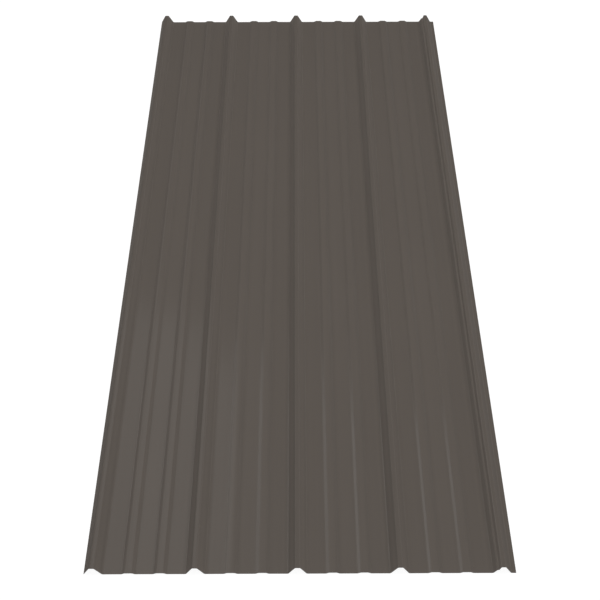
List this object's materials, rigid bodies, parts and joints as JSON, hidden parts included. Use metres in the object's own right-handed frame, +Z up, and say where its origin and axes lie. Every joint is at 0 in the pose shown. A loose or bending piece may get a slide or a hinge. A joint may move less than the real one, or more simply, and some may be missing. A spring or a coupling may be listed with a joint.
{
  "type": "corrugated metal sheet",
  "caption": "Long painted steel roofing sheet with trapezoidal ribs, low stiffening beads, an overlapping edge and an underlapping edge with a foot.",
  "frame": {"origin": "bottom centre of the whole sheet: midway across its width and along its length, on the plane that its pans rest on", "axes": "+X across the ribs towards the underlapping edge, +Y along the ribs, +Z up out of the painted face"},
  "size_m": [0.9664, 2.1336, 0.027],
  "materials": {
    "painted_steel": "satin dark bronze-grey paint"
  },
  "bodies": {
    "root": {"ribbed_sheet": "painted_steel"}
  },
  "joints": []
}
